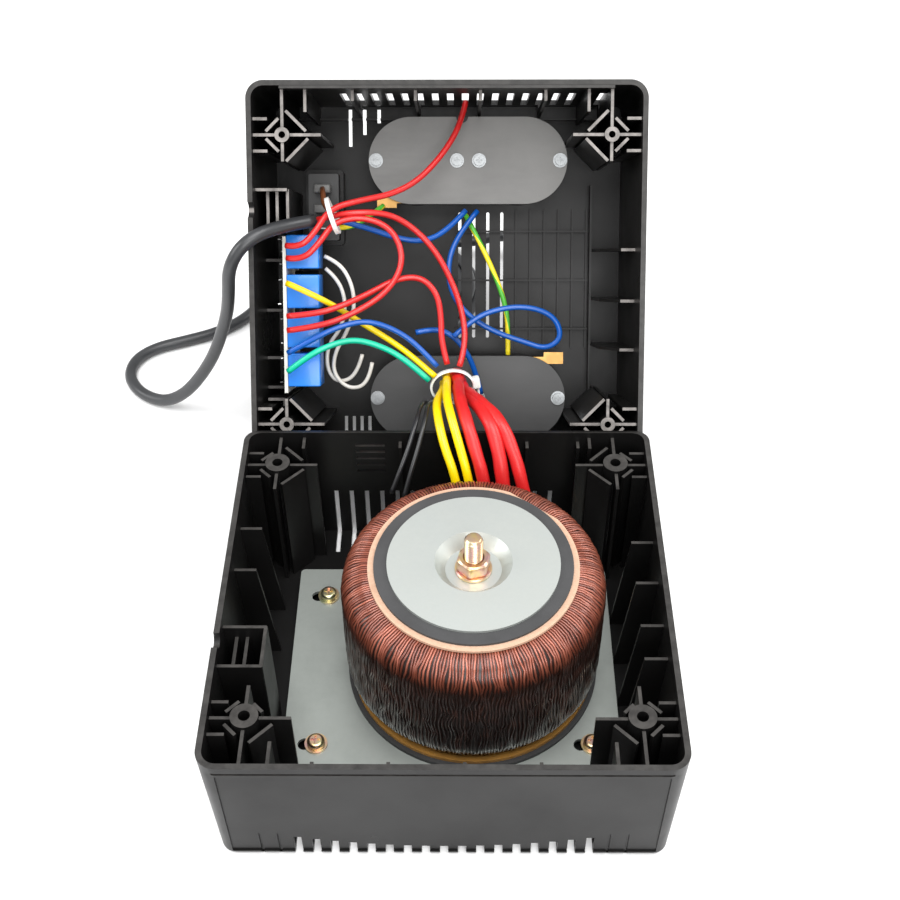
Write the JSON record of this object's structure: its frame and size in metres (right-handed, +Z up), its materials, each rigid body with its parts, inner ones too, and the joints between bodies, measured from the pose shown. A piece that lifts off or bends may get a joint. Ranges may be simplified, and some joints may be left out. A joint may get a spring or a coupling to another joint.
{
  "type": "autotransformer voltage stabiliser",
  "caption": "Mains voltage stabiliser opened for service: toroidal autotransformer in a plastic tray, relay board, outlets and switch in the raised cover, wiring between.",
  "frame": {"origin": "centre of the base tray's underside", "axes": "+Z up, -Y towards the front of the base, +X to the right seen from the front; the open cover stands behind at +Y"},
  "size_m": [0.3003, 0.4226, 0.1878],
  "materials": {
    "case_plastic": "fine satin moulded",
    "zinc_steel": "dull zinc",
    "yellow_zinc": "yellow passivated",
    "bright_zinc": "bright",
    "black_rubber": "matt",
    "amber_film": "varnished",
    "pressboard": "pressed board",
    "enamelled_copper": "enamelled",
    "core_steel": "laminated",
    "grey_fibre": "pressed fibre",
    "dark_fibre": "pressed fibre",
    "carrier_plastic": "moulded",
    "contact_brass": "plain",
    "board_laminate": "laminate",
    "relay_blue": "moulded",
    "component_black": "moulded",
    "switch_black": "moulded",
    "tie_nylon": "nylon",
    "cord_pvc": "satin",
    "red_pvc": "satin",
    "red_sleeving": "silicone",
    "yellow_pvc": "satin",
    "blue_pvc": "satin",
    "green_pvc": "satin",
    "brown_pvc": "satin",
    "earth_pvc": "green and yellow",
    "white_pvc": "satin",
    "black_pvc": "satin"
  },
  "bodies": {
    "base": {"base_shell": "case_plastic", "transformer_plate": "zinc_steel", "plate_washers": "yellow_zinc", "plate_screws": "yellow_zinc", "lower_rubber_pad": "black_rubber", "lower_insulating_ring": "amber_film", "toroid_core": "core_steel", "toroid_winding": "enamelled_copper", "upper_insulating_ring": "pressboard", "upper_rubber_pad": "black_rubber", "clamp_dish": "zinc_steel", "clamp_washer": "yellow_zinc", "clamp_nut": "yellow_zinc", "centre_bolt": "yellow_zinc", "yellow_sleeves": "yellow_pvc", "red_sleeves": "red_sleeving", "thermal_leads": "black_pvc", "mains_cord": "cord_pvc", "mains_cord_coil": "cord_pvc", "mains_plug": "cord_pvc", "plug_pins": "bright_zinc", "plug_lead": "cord_pvc"},
    "cover": {"blue_tap_lead": "blue_pvc", "board_components": "component_black", "board_link_lead": "red_pvc", "board_red_lead": "red_pvc", "cord_tie": "tie_nylon", "cover_shell": "case_plastic", "earth_leads": "earth_pvc", "green_tap_lead": "green_pvc", "harness_tie": "tie_nylon", "live_core_lead": "brown_pvc", "lower_earth_strip": "contact_brass", "lower_outlet_carrier": "carrier_plastic", "lower_outlet_contacts": "contact_brass", "lower_outlet_plate": "dark_fibre", "neutral_lead": "blue_pvc", "outlet_neutral_lead": "blue_pvc", "outlet_plate_screws": "bright_zinc", "relay_board": "board_laminate", "relay_case_1": "relay_blue", "relay_case_2": "relay_blue", "relay_case_3": "relay_blue", "relay_case_4": "relay_blue", "relay_coils": "enamelled_copper", "sensor_leads": "white_pvc", "switch_body": "switch_black", "switch_tabs": "contact_brass", "switch_to_winding_lead": "red_pvc", "switched_live_lead": "red_pvc", "upper_earth_strip": "contact_brass", "upper_outlet_carrier": "carrier_plastic", "upper_outlet_contacts": "contact_brass", "upper_outlet_plate": "grey_fibre", "yellow_tap_lead": "yellow_pvc"},
    "rocker": {"switch_rocker": "switch_black"}
  },
  "joints": [
    {"name": "cover_fold", "type": "hinge", "parent": "base", "child": "cover", "pos_m": [0, 0.08585, 0.05572], "axis": [1, 0, 0], "range_deg": [0, 127.6], "deforming": ["yellow_sleeves", "red_sleeves", "thermal_leads", "mains_cord"]},
    {"name": "rocker_tilt", "type": "hinge", "parent": "cover", "child": "rocker", "pos_m": [-0.0638, 0.22565, 0.10061], "axis": [1, 0, 0], "range_deg": [-10, 0]}
  ]
}
